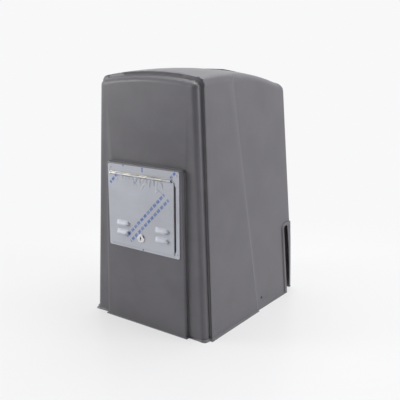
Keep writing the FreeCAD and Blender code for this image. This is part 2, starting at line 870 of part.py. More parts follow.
# -------------------------------------------------------------- chassis ----
floor = d.base_thickness
shelf_top = d.bracket_top
wheel_middle = (d.gearbox_front + d.bracket_front) / 2
worm_height = d.shaft_height + d.wheel_radius + d.worm_radius + d.worm_gap
motor_height = shelf_top + d.motor_lift + d.motor_radius
shaft_centre = (0, d.shaft_height)
worm_centre = (wheel_middle, worm_height)
motor_centre = (d.motor_back, motor_height)
bracket_back = d.bracket_front + d.bracket_thickness
panel_face = d.panel_front + d.panel_thickness
tab_top = d.cover_screw_height + d.tab_above_screw
tab_face = (d.cover_half_width - d.step_depth - d.cover_wall - tab_top * side_lean
            - d.tab_clearance)


def slot_tool(x, y):
    """Slotted anchor hole along X, through the base plate."""
    radius = d.anchor_slot_radius
    reach = d.anchor_slot_length / 2 - radius
    span = (as_size(-1), floor + 1)
    return join(box((x - reach, x + reach), (y - radius, y + radius), span),
                rod("Z", (x - reach, y), radius, *span), rod("Z", (x + reach, y), radius, *span))


def base_plate():
    plate = box((-d.base_half_width, d.base_half_width), (-d.base_half_depth, d.base_half_depth),
                (as_size(0), floor))
    plate = rounded(plate, d.base_corner_radius, upright)
    slots = [slot_tool((d.base_half_width - d.anchor_edge_across) * sx,
                       (d.base_half_depth - d.anchor_edge_along) * sy)
             for sx in (-1, 1) for sy in (-1, 1)]
    conduit = box((-d.conduit_half_width, d.conduit_half_width),
                  (-d.conduit_front, -d.conduit_rear), (as_size(-1), floor + 1))
    conduit = rounded(conduit, d.conduit_corner_radius, upright)
    return node(cut(plate, conduit, *slots), "base_plate")


def cover_tabs():
    face = tab_face
    along = (d.cover_screw_back - d.tab_width / 2, d.cover_screw_back + d.tab_width / 2)
    foot = box((face - d.tab_foot, face), along, (floor, floor + d.tab_thickness))
    wall = box((face - d.tab_thickness, face), along, (floor, tab_top))
    hole = rod("X", (d.cover_screw_back, d.cover_screw_height), d.tab_hole_radius,
               face - 2 * d.tab_thickness, face + 1)
    tab = cut(join(foot, wall), hole)
    return node(group(tab, mirrored(tab)), "cover_tabs")


def drive_bracket():
    half = d.bracket_half_width
    wall = box((-half, half), (d.bracket_front, bracket_back), (floor, shelf_top))
    wall = rounded(wall, d.base_corner_radius, lambda e: runs_along(e, "Y") and middle(e).z > 100)
    pieces = [wall]
    for low in (-half, half - d.gusset_thickness):
        body = new_body("Gusset")
        sketch = new_sketch(body, "YZ_Plane", low)
        draw_polygon(sketch, [(d.bracket_front, floor),
                              (d.bracket_front, shelf_top - d.shelf_thickness),
                              (d.bracket_front - 20, shelf_top - d.shelf_thickness),
                              (d.bracket_front - d.gusset_depth, floor + 12),
                              (d.bracket_front - d.gusset_depth, floor)])
        pad(body, sketch, d.gusset_thickness)
        pieces.append(body)
    shaft_hole = rod("Y", shaft_centre, d.bearing_outer_radius, d.bracket_front - 1,
                     bracket_back + 1)
    return node(cut(join(*pieces), shaft_hole), "drive_bracket")


def motor_shelf():
    shelf = box((-d.motor_left - 6, d.bracket_half_width - d.gusset_thickness),
                (-d.shelf_front, d.bracket_front),
                (shelf_top - d.shelf_thickness, shelf_top))
    shelf = rounded(shelf, d.base_corner_radius, lambda e: upright(e) and middle(e).y < 0)
    rib = box((-d.motor_left, d.gusset_thickness - d.motor_left), (20, d.bracket_front),
              (d.gearbox_top + 4, shelf_top - d.shelf_thickness))
    left, right = d.motor_bell_length - d.motor_left, d.motor_right - d.motor_bell_length
    cradle = box((left + 4, right - 4), (d.motor_back - 45, d.motor_back + 45),
                 (shelf_top - 1, motor_height - d.motor_radius * 0.75))
    shell = rod("X", motor_centre, d.motor_radius - 1, left, right)
    return node(cut(join(shelf, rib, cradle), shell), "motor_shelf")


def electrics_panel():
    half = d.panel_half_width
    sheet_metal = box((-half, half), (-panel_face, -d.panel_front), (floor, d.panel_top))
    sides = [box((low, low + d.panel_thickness), (-d.panel_front, d.panel_flange - d.panel_front),
                 (floor, d.panel_top)) for low in (-half, half - d.panel_thickness)]
    foot = box((-half, half), (-d.panel_front, d.panel_flange - d.panel_front),
               (floor, floor + d.panel_thickness))
    top = box((-half, half), (-d.panel_front, d.panel_flange - d.panel_front),
              (d.panel_top - d.panel_thickness, d.panel_top))
    rod_hole = rod("Y", (d.release_right, d.release_height), d.release_radius + 1,
                   -panel_face - 1, 1 - d.panel_front)
    cable_holes = [rod("Y", (x, d.board_bottom - 22), 10, -panel_face - 1, 1 - d.panel_front)
                   for x in (-70, 70)]
    return node(cut(join(sheet_metal, foot, top, *sides), rod_hole, *cable_holes),
                "electrics_panel")


base_plate()
cover_tabs()
drive_bracket()
motor_shelf()
electrics_panel()

# ---------------------------------------------------------------- drive ----


def ring(axis, centre, outer_radius, inner_radius, low, high):
    hole = rod(axis, centre, inner_radius, low - 1, high + 1)
    return cut(rod(axis, centre, outer_radius, low, high), hole)


def gearbox():
    half = d.gearbox_half_width
    cavity_radius = d.wheel_radius + 3
    seat = d.bearing_width + 4
    block = box((-half, half), (d.gearbox_front, d.bracket_front), (d.gearbox_bottom, d.gearbox_top))
    block = rounded(block, d.gearbox_wall, lambda e: runs_along(e, "Y"))
    wheel_room = rod("Y", shaft_centre, cavity_radius, d.gearbox_front - 1, d.bracket_front - seat)
    rear_seat = rod("Y", shaft_centre, d.bearing_outer_radius, d.bracket_front - seat - 1,
                    d.bracket_front + 1)
    worm_room = rod("X", worm_centre, d.worm_radius + 3, -half + 14, half - 14)
    worm_seats = rod("X", worm_centre, 17, -half - 1, half - 5)
    node(cut(block, wheel_room, rear_seat, worm_room, worm_seats), "gearbox_housing")

    front = d.gearbox_front - d.gearbox_cover_thickness
    plate = box((-half, half), (front, d.gearbox_front), (d.gearbox_bottom, d.gearbox_top))
    plate = rounded(plate, d.gearbox_wall, lambda e: runs_along(e, "Y"))
    spigot = rod("Y", shaft_centre, cavity_radius - 4, d.gearbox_front - 1, d.gearbox_front + 14)
    cover_seat = rod("Y", shaft_centre, d.bearing_outer_radius, front + 3, d.gearbox_front + 20)
    shaft_hole = rod("Y", shaft_centre, d.shaft_radius + 1, front - 1, front + 10)
    release_hole = rod("Y", (d.release_right, d.release_height), d.release_radius + d.shaft_fit,
                       front - 1, d.gearbox_front - 2)
    node(cut(join(plate, spigot), cover_seat, shaft_hole, release_hole), "gearbox_cover")
    screws = [rod("Y", (x, z), 4.5, front - 5, front)
              for x in (10 - half, 0, half - 10)
              for z in (d.gearbox_bottom + 10, d.gearbox_top - 10)]
    node(group(*screws), "gearbox_screws")

    bearings = [ring("Y", shaft_centre, d.bearing_outer_radius, d.shaft_radius + d.shaft_fit,
                     low, low + d.bearing_width)
                for low in (front + 3, d.bracket_front - d.bearing_width - 4)]
    node(group(*bearings), "output_bearings")
    node(ring("Y", shaft_centre, d.bearing_outer_radius, d.shaft_radius + d.shaft_fit,
              d.bracket_front - 3, bracket_back), "output_oil_seal")
    node(group(ring("X", worm_centre, 17, d.worm_shaft_radius + d.shaft_fit, -half, 12 - half),
               ring("X", worm_centre, 17, d.worm_shaft_radius + d.shaft_fit, half - 17, half - 5)),
         "worm_bearings")
    plugs = [rod("Z", (40, wheel_middle), 8, d.gearbox_top, d.gearbox_top + 8),
             rod("X", (wheel_middle, d.gearbox_bottom + 14), 7, half, half + 7)]
    node(group(*plugs), "oil_plugs")


def output_train():
    node(rod("Y", shaft_centre, d.shaft_radius, d.gearbox_front - d.gearbox_cover_thickness - 14,
             d.shaft_end), "output_shaft")
    low = wheel_middle - d.wheel_width / 2
    node(ring("Y", shaft_centre, d.wheel_radius, d.shaft_radius, low, low + d.wheel_width),
         "worm_wheel")
    sprocket()
    front = d.gearbox_front - d.gearbox_cover_thickness - 12
    node(ring("Y", shaft_centre, 32, d.shaft_radius, front, front + 4), "encoder_disc")


def sprocket():
    """Roller-chain sprocket: tooth gaps cut by one pocket and a polar pattern."""
    teeth = int(d.sprocket_teeth.value)
    pitch_radius = d.chain_pitch / (2 * sin(180 / d.sprocket_teeth))
    outer = pitch_radius + d.chain_pitch * 0.3
    body = new_body("Sprocket")
    blank = new_sketch(body, "XZ_Plane")
    draw_circle(blank, 0, 0, outer)
    pad(body, blank, d.sprocket_thickness, reverse=True)
    gap = new_sketch(body, "XZ_Plane")
    seat = d.chain_roller_radius + 0.1
    draw_polygon(gap, [(-seat * 1.5, outer + 2), (-seat, pitch_radius),
                       (-seat * 0.71, pitch_radius - seat * 0.71), (0, pitch_radius - seat),
                       (seat * 0.71, pitch_radius - seat * 0.71), (seat, pitch_radius),
                       (seat * 1.5, outer + 2)])
    notch = pocket(body, gap, d.sprocket_thickness + 1)
    pattern = body.newObject("PartDesign::PolarPattern", "Teeth")
    pattern.Originals = [notch]
    pattern.Axis = (gap, ["N_Axis"])
    pattern.Angle = 360
    pattern.Occurrences = teeth
    body.Tip = pattern
    put_at(body, 0, d.chain_plane - d.sprocket_thickness / 2, d.shaft_height)
    hub = rod("Y", shaft_centre, d.sprocket_hub_radius,
              d.chain_plane + d.sprocket_thickness / 2 - d.sprocket_hub_length, d.chain_plane)
    bore = rod("Y", shaft_centre, d.shaft_radius, 0, 300)
    return node(cut(join(body, hub), bore), "drive_sprocket")


def grooved_wheel(name, axis, centre, across, radius, flange_radius, groove_half, bore):
    """Wheel with a groove: across is its middle and its width along the axis."""
    at, width = across
    half = width / 2
    return revolved(name, axis, centre,
                    [(at - half, bore), (at - half, flange_radius),
                     (at - groove_half - 1.5, flange_radius), (at - groove_half, radius),
                     (at + groove_half, radius), (at + groove_half + 1.5, flange_radius),
                     (at + half, flange_radius), (at + half, bore)])


def chain_wheels():
    axles = []
    low = d.chain_plane - d.idler_width / 2
    for side, name in ((-1, "left"), (1, "right")):
        centre = (d.idler_offset * side, d.idler_height)
        wheel = grooved_wheel("Idler", "Y", centre, (d.chain_plane, d.idler_width),
                              d.idler_radius, d.idler_flange_radius, as_size(5.5),
                              d.idler_axle_radius + d.shaft_fit)
        node(wheel, f"idler_wheel_{name}")
        axles.append(join(rod("Y", centre, d.idler_axle_radius, bracket_back,
                              low + d.idler_width + d.running_gap),
                          rod("Y", centre, d.idler_axle_radius + 5, bracket_back,
                              low - d.running_gap),
                          rod("Y", centre, d.idler_axle_radius + 4,
                              low + d.idler_width + d.running_gap,
                              low + d.idler_width + d.running_gap + 5)))
    node(group(*axles), "idler_axles")


def input_train():
    half = d.gearbox_half_width
    left = -(d.belt_plane + d.pulley_width / 2)
    shaft = join(rod("X", worm_centre, d.worm_shaft_radius, left - 2, half - 6),
                 rod("X", worm_centre, d.worm_radius, -30, 30))
    node(shaft, "worm_shaft")
    pulley = grooved_wheel("ReducerPulley", "X", worm_centre, (-d.belt_plane, d.pulley_width),
                           d.large_pulley_radius - d.belt_height - 1, d.large_pulley_radius,
                           d.belt_width / 2 - 1, d.worm_shaft_radius)
    node(pulley, "reducer_pulley")
    pulley = grooved_wheel("MotorPulley", "X", motor_centre, (-d.belt_plane, d.pulley_width),
                           d.small_pulley_radius - d.belt_height - 1, d.small_pulley_radius,
                           d.belt_width / 2 - 1, d.motor_shaft_radius)
    node(pulley, "motor_pulley")
    node(rod("X", motor_centre, d.motor_shaft_radius, left - 2, 14 - d.motor_left), "motor_shaft")
    drive_belt()


def loop_face(first_radius, second_radius):
    """Face inside a belt line round the motor pulley and the reducer pulley."""
    first = Vector(-d.belt_plane.value, motor_centre[0].value, motor_centre[1].value)
    second = Vector(-d.belt_plane.value, worm_centre[0].value, worm_centre[1].value)
    line = second - first
    heading = math.atan2(line.z, line.y)
    wrap = math.acos((first_radius - second_radius) / line.Length)

    def on(centre, radius, angle):
        return centre + Vector(0, math.cos(angle), math.sin(angle)) * radius

    a, b = on(first, first_radius, heading + wrap), on(first, first_radius, heading - wrap)
    c, e = on(second, second_radius, heading - wrap), on(second, second_radius, heading + wrap)
    edges = [Part.Arc(a, on(first, first_radius, heading + math.pi), b).toShape(),
             Part.LineSegment(b, c).toShape(),
             Part.Arc(c, on(second, second_radius, heading), e).toShape(),
             Part.LineSegment(e, a).toShape()]
    return Part.Face(Part.Wire(edges))


def drive_belt():
    small, large = d.small_pulley_radius.value, d.large_pulley_radius.value
    sunk = 0.5
    depth = sunk + d.belt_height.value
    width = d.belt_width.value - 2 - 2 * d.running_gap.value
    ring_face = loop_face(small - sunk, large - sunk).cut(loop_face(small - depth, large - depth))
    ring_face.translate(Vector(-width / 2, 0, 0))
    belt = doc.addObject("Part::Feature", "Belt")
    belt.Shape = ring_face.extrude(Vector(width, 0, 0))
    return node(belt, "drive_belt")


def motor():
    left, right, bell = -d.motor_left, d.motor_right, d.motor_bell_length
    radius = d.motor_radius
    node(rod("X", motor_centre, radius - 1, left + bell, right - bell), "motor_shell")
    left_bell = revolved("BellLeft", "X", motor_centre,
                         [(left, 0), (left, radius * 0.5), (left + 8, radius * 0.8),
                          (left + bell * 0.6, radius), (left + bell, radius), (left + bell, 0)])
    bore = rod("X", motor_centre, d.motor_shaft_radius + d.shaft_fit, left - 1, left + 16)
    node(cut(left_bell, bore), "motor_bell_drive_end")
    node(revolved("BellRight", "X", motor_centre,
                  [(right - bell, 0), (right - bell, radius), (right - bell * 0.6, radius),
                   (right - 8, radius * 0.8), (right, radius * 0.5), (right, 0)]),
         "motor_bell_fan_end")
    middle_y = d.motor_back
    top = motor_height + radius
    hollow = rod("X", motor_centre, radius - 1, left, right)
    cap = rod("X", (middle_y, top + 17), 20, left + bell + 8, right - bell - 8)
    foot = box((left + bell + 16, right - bell - 16), (middle_y - 14, middle_y + 14),
               (top - 10, top + 10))
    node(cut(join(cap, foot), hollow), "motor_capacitor_cover")


gearbox()
output_train()
chain_wheels()
input_train()
motor()

# ------------------------------------------------------------ electrics ----


def control_board():
    face = panel_face + d.board_standoff
    half = d.board_half_width
    board = box((-half, half), (-face - d.board_thickness, -face), (d.board_bottom, d.board_top))
    node(board, "control_board")
    posts = [rod("Y", (x, z), 3.5, -face, -panel_face)
             for x in (8 - half, half - 8) for z in (d.board_bottom + 8, d.board_top - 8)]
    node(group(*posts), "board_standoffs")
    front = face + d.board_thickness
    blocks = [box((low, low + 70), (-front - 14, -front), (z, z + 12))
              for low in (-half + 16, half - 86) for z in (d.board_bottom + 3,)]
    node(group(*blocks), "board_terminals")
    relays = [box((x, x + 20), (-front - 16, -front), (d.board_bottom + 45, d.board_bottom + 70))
              for x in (-88, -62, -36, -10)]
    cans = [rod("Y", (x, d.board_bottom + 60), 11, -front - 32, -front) for x in (40, 66)]
    node(group(*relays, *cans), "board_components")
    base = box((-80, -10), (-front - 4, -front), (d.board_top - 50, d.board_top - 15))
    fins = [box((x, x + 2), (-front - 24, -front - 3), (d.board_top - 50, d.board_top - 15))
            for x in range(-80, -10, 8)]
    node(join(base, *fins), "board_heat_sink")
    node(box((20, 76), (-front - 8, -front), (d.board_top - 42, d.board_top - 18)),
         "status_display")


def power_pieces():
    half = d.battery_length + 3
    rear = -d.battery_front + d.battery_depth
    tray = box((-half - 2, half + 2), (-d.battery_front - 3, rear + 3),
               (floor, floor + d.tray_thickness + 10))
    room = box((-half, half), (-d.battery_front - 1, rear + 1),
               (floor + d.tray_thickness, floor + 50))
    node(cut(tray, room), "battery_tray")
    bottom = floor + d.tray_thickness
    batteries = []
    for low in (-d.battery_length - 1, as_size(1)):
        case = box((low, low + d.battery_length), (-d.battery_front, rear),
                   (bottom, bottom + d.battery_height))
        case = rounded(case, as_size(2), lambda e: upright(e))
        posts = [box((low + x, low + x + 6), (rear - 12, rear - 8),
                     (bottom + d.battery_height - 1, bottom + d.battery_height + 6))
                 for x in (10, 130)]
        batteries.append(join(case, *posts))
    node(group(*batteries), "batteries")
    top = bottom + d.battery_height
    middle_y = -d.battery_front + 22
    bar = box((-half - 4, half + 4), (middle_y - 9, middle_y + 9), (top + 0.5, top + 2.5))
    legs = [box((low, low + 2), (middle_y - 9, middle_y + 9), (floor, top + 2.5))
            for low in (-half - 4, half + 2)]
    node(join(bar, *legs), "battery_strap")
    centre = (tab_face - d.tab_foot - d.transformer_clearance - d.transformer_radius,
              d.transformer_back)
    radius, tall = d.transformer_radius, d.transformer_height
    coil = revolved("Coil", "Z", centre,
                    [(floor, 14), (floor, radius - 8), (floor + 8, radius),
                     (floor + tall - 8, radius), (floor + tall, radius - 8), (floor + tall, 14)])
    node(coil, "transformer")
    bolt = join(rod("Z", centre, 5, floor, floor + tall + 8),
                cone("Z", centre, 26, 14, floor + tall, floor + tall + 3),
                rod("Z", centre, 8, floor + tall + 2, floor + tall + 8))
    node(bolt, "transformer_bolt")
    node(join(rod("Z", (-120, -10), 4, floor, floor + 18),
              box((-130, -110), (-16, -4), (floor, floor + 6))), "ground_lug")


def controls():
    front = d.controls_front
    left, right = -d.controls_left, d.controls_right
    wall = d.controls_thickness
    heights = (d.controls_bottom, d.controls_top)
    middle_x = (left + right) / 2
    button_z = d.controls_bottom + 66
    switch_z = d.controls_top - 30
    places = [(middle_x + d.button_spacing * step, button_z) for step in (-1, 0, 1)]
    plate = box((left, right), (-front, wall - front), heights)
    sides = [box((low, low + wall), (-front, -panel_face), heights)
             for low in (left, right - wall)]
    holes = [rod("Y", place, d.button_radius + d.running_gap, -front - 1, wall - front + 1)
             for place in places]
    window = box((middle_x - 15, middle_x + 15), (-front - 1, wall - front + 1),
                 (switch_z - 11, switch_z + 11))
    node(cut(join(plate, *sides), window, *holes), "controls_bracket")

    depth = 24
    housings = [rod("Y", place, d.button_radius + 4, wall - front, depth - front)
                for place in places]
    bores = [rod("Y", place, d.button_radius + d.running_gap, -front - 1, depth - 4 - front)
             for place in places]
    node(cut(group(*housings), *bores), "button_housings")
    for place, name in zip(places, ("close", "stop", "open")):
        cap = rod("Y", place, d.button_radius, -front - d.button_rise,
                  depth - 5 - d.button_travel - front)
        cap = rounded(cap, as_size(1.5), lambda e: middle(e).y < -front.value - 1)
        node(cap, f"{name}_button")

    switch = box((middle_x - 14.5, middle_x + 14.5), (-front, depth - front),
                 (switch_z - 10.5, switch_z + 10.5))
    room = box((middle_x - 12, middle_x + 12), (-front - 1, 12 - front),
               (switch_z - 8.5, switch_z + 8.5))
    node(cut(switch, room), "power_switch_body")
    body = new_body("Rocker")
    body.Placement = Placement(Vector(), Rotation(Vector(1, 0, 0), d.rocker_tilt.value))
    sketch = new_sketch(body, "YZ_Plane", -11.5)
    draw_polygon(sketch, [(-5.5, -7.4), (-3, 0), (-5.5, 7.4), (2, 7.4), (6, 0), (2, -7.4)])
    pad(body, sketch, 23)
    put_at(body, middle_x, 2 - front, switch_z)
    node(body, "power_rocker")


def release():
    centre = (d.release_right, d.release_height)
    lever_y = -d.controls_front - 8
    node(rod("Y", centre, d.release_radius, lever_y,
             d.gearbox_front - 3), "release_rod")
    hub = rod("Y", centre, d.release_radius + 7, lever_y - 4, lever_y + 6)
    arm = box((d.release_right - 5, d.release_right + 5), (lever_y - 3, lever_y + 3),
              (d.release_height, d.release_height + d.release_lever_length))
    grip = rod("Z", (d.release_right, lever_y), 8, d.release_height + 52,
               d.release_height + d.release_lever_length + 2)
    bore = rod("Y", centre, d.release_radius, lever_y, lever_y + 20)
    node(cut(join(hub, arm, grip), bore), "release_lever")
    sensor_y = d.gearbox_front - d.gearbox_cover_thickness
    sensor = box((-12, 12), (sensor_y - 18, sensor_y), (d.shaft_height - 52, d.shaft_height - 36))
    node(sensor, "encoder_sensor")


control_board()
power_pieces()
controls()
release()

# ---------------------------------------------------------------- export ----
doc.recompute()
for item in doc.Objects:
    if "Invalid" in item.State or "Error" in item.State:
        raise RuntimeError(f"{item.Name} ({item.Label}) failed: {item.State}")
for item in nodes:
    if item.Shape.isNull() or not item.Shape.isValid() or item.Shape.Volume <= 0:
        raise RuntimeError(f"{item.Label} has no valid shape")

os.makedirs("parts", exist_ok=True)
for item in nodes:
    item.Shape.exportStep(os.path.join("parts", item.Label + ".step"))
print(len(nodes), "sub-parts written")
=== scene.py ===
import json
import math
import random

import bmesh
import bpy
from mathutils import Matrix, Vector


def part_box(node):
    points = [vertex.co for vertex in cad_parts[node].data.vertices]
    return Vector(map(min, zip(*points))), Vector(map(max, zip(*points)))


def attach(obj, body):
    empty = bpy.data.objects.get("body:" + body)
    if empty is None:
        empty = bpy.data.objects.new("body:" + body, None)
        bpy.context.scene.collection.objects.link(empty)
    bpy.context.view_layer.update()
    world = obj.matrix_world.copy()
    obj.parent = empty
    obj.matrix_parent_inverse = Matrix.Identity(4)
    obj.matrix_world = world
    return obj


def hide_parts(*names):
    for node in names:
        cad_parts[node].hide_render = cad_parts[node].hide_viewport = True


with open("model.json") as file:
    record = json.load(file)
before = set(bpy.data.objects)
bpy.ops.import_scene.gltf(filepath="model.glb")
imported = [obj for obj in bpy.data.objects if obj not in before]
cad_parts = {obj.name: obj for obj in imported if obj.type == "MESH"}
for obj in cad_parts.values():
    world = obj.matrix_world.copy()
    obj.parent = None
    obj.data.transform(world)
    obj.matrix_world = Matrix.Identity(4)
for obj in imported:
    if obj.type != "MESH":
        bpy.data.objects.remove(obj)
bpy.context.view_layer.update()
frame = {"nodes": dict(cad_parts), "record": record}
NODES = frame["nodes"]
MM = 0.001

scene = bpy.context.scene


# ---------------------------------------------------------------- camera

EYE = Vector((0.93458, -1.28351, 0.64953))
AIM = Vector((0.0, 0.0, 0.2751))
LENS_MM, SENSOR_MM = 54.96, 36
SIGHT_M = 60

camera_data = bpy.data.cameras.new("camera")
camera_data.lens = LENS_MM
camera_data.sensor_width = SENSOR_MM
camera_data.clip_end = SIGHT_M
camera = bpy.data.objects.new("camera", camera_data)
scene.collection.objects.link(camera)
camera.location = EYE
camera.rotation_mode = "QUATERNION"
camera.rotation_quaternion = (AIM - EYE).to_track_quat("-Z", "Y")
scene.camera = camera
scene.view_settings.view_transform = "Standard"


# ---------------------------------------------------------------- materials

PLASTIC_IOR = 1.5
EVEN = (1, 1, 1)             # a pattern that is drawn out along no axis
NOISE_SPREAD = (0.35, 0.65)  # where most values of a noise pattern lie


def linear(code):
    """Linear RGBA of an sRGB hex colour such as "6b6a6f"."""
    parts = [int(code[i:i + 2], 16) / 255 for i in (0, 2, 4)]
    return [c / 12.92 if c <= 0.04045 else ((c + 0.055) / 1.055) ** 2.4 for c in parts] + [1.0]


def add(tree, kind, settings=None, links=None):
    """Adds a node. A setting is one of its inputs if it has one of that name, and else a property."""
    made = tree.nodes.new("ShaderNode" + kind)
    for name, value in (settings or {}).items():
        if isinstance(name, int) or name in made.inputs:
            made.inputs[name].default_value = value
        else:
            setattr(made, name, value)
    for name, source in (links or {}).items():
        tree.links.new(source, made.inputs[name])
    return made


def new_material(name, **sockets):
    """A material with its tree, its shader, and the object's coordinates in metres."""
    made = bpy.data.materials.new(name)
    made.use_nodes = True
    tree = made.node_tree
    shader = tree.nodes["Principled BSDF"]
    for socket, value in sockets.items():
        shader.inputs[socket.replace("_", " ")].default_value = value
    place = add(tree, "TexCoord").outputs["Object"]
    return made, tree, shader, place


def mottle(tree, place, size_mm, stretch=EVEN, detail=3.0):
    """Soft irregular pattern whose blotches are about size_mm across, drawn out along some axes."""
    scale = [1 / (size_mm * MM * s) for s in stretch]
    grid = add(tree, "Mapping", {"Scale": scale}, {"Vector": place})
    return add(tree, "TexNoise", {"Scale": 1.0, "Detail": detail}, {"Vector": grid.outputs[0]}).outputs["Fac"]


def grained(tree, place, patch_mm, grain_mm, share, stretch=EVEN, patch_stretch=EVEN):
    """Broad patches, a fine grain, and their sum, in which the grain has only a share."""
    patches = mottle(tree, place, patch_mm, patch_stretch, detail=4.0)
    grain = mottle(tree, place, grain_mm, stretch, detail=2.0)
    both = add(tree, "Math", {"operation": "MULTIPLY_ADD", 1: share}, {0: grain, 2: patches})
    return patches, grain, both.outputs[0]


def drive(tree, shader, socket, pattern, low, high, spread=NOISE_SPREAD):
    """Lets a pattern carry a socket of the shader from low to high, two numbers or two hex colours.

    It does so while the pattern's values run through spread, and holds still past its ends."""
    coloured = isinstance(low, str)
    ends = (0, 1) if coloured else (low, high)
    value = add(tree, "MapRange", {"From Min": spread[0], "From Max": spread[1], "To Min": ends[0],
                                   "To Max": ends[1]}, {"Value": pattern}).outputs["Result"]
    if coloured:
        mix = add(tree, "Mix", {"data_type": "RGBA", 6: linear(low), 7: linear(high)}, {0: value})
        value = mix.outputs[2]
    tree.links.new(value, shader.inputs[socket])


def press(tree, shader, pattern, depth_mm):
    """Presses a pattern into the surface."""
    bump = add(tree, "Bump", {"Strength": 1.0, "Distance": depth_mm * MM}, {"Height": pattern})
    tree.links.new(bump.outputs["Normal"], shader.inputs["Normal"])


def moulded(name, dark, light, roughness, grain_mm, depth_mm):
    """Injection- or vacuum-moulded plastic with a spark-eroded grain, in patches of tone and gloss."""
    made, tree, shader, place = new_material(name, IOR=PLASTIC_IOR)
    patches, grain, tone = grained(tree, place, patch_mm=90, grain_mm=grain_mm, share=0.3)
    drive(tree, shader, "Base Color", tone, dark, light, spread=(0.5, 0.8))
    drive(tree, shader, "Roughness", patches, roughness - 0.05, roughness + 0.05)
    press(tree, shader, grain, depth_mm)
    return made


def metal(name, dark, light, roughness, grain_mm, depth_mm, stretch=EVEN, metallic=1.0):
    """Rolled, brushed, turned or cast metal, whose grain may be drawn out along an axis."""
    made, tree, shader, place = new_material(name, Metallic=metallic)
    _, grain, tone = grained(tree, place, patch_mm=50, grain_mm=grain_mm, share=0.5, stretch=stretch)
    drive(tree, shader, "Base Color", tone, dark, light, spread=(0.6, 0.9))
    drive(tree, shader, "Roughness", tone, roughness - 0.06, roughness + 0.06, spread=(0.6, 0.9))
    press(tree, shader, grain, depth_mm)
    return made


def galvanised(name):
    """Hot-dip zinc on sheet steel: crystals some 6 mm across, each with its own grey and gloss."""
    made, tree, shader, place = new_material(name, Metallic=1.0)
    crystals = add(tree, "TexVoronoi", {"Scale": 1 / (6 * MM), "Randomness": 1.0}, {"Vector": place})
    shade = add(tree, "SeparateColor", links={"Color": crystals.outputs["Color"]}).outputs[0]
    drive(tree, shader, "Base Color", shade, "a4a8ab", "bcbfc1", spread=(0, 1))
    drive(tree, shader, "Roughness", shade, 0.36, 0.48, spread=(0, 1))
    press(tree, shader, mottle(tree, place, 1.2), 0.02)
    return made


def coated(name, dark, light, roughness=0.42):
    """Powder coat or stoved enamel: a thick film with an orange-peel surface."""
    made, tree, shader, place = new_material(name)
    drive(tree, shader, "Base Color", mottle(tree, place, 60, detail=5.0), dark, light)
    drive(tree, shader, "Roughness", mottle(tree, place, 30), roughness - 0.07, roughness + 0.07)
    press(tree, shader, mottle(tree, place, 1.6, detail=1.0), 0.03)
    return made


def circuit_board(name):
    """Glass-fibre board under green solder mask, with raised copper tracks round cells of some 9 mm."""
    made, tree, shader, place = new_material(name, IOR=PLASTIC_IOR, Roughness=0.28)
    upright = add(tree, "Mapping", {"Rotation": (math.pi / 2, 0, 0)}, {"Vector": place})
    cells = add(tree, "TexVoronoi", {"distance": "MANHATTAN", "feature": "F1", "Scale": 1 / (9 * MM)},
                {"Vector": upright.outputs[0]})
    lines = add(tree, "Math", {"operation": "PINGPONG", 1: 0.09}, {0: cells.outputs["Distance"]})
    copper = add(tree, "MapRange", {"From Min": 0.035, "From Max": 0.055}, {"Value": lines.outputs[0]})
    drive(tree, shader, "Base Color", copper.outputs["Result"], "0d3b20", "1f6b38", spread=(0, 1))
    press(tree, shader, copper.outputs["Result"], 0.04)
    return made


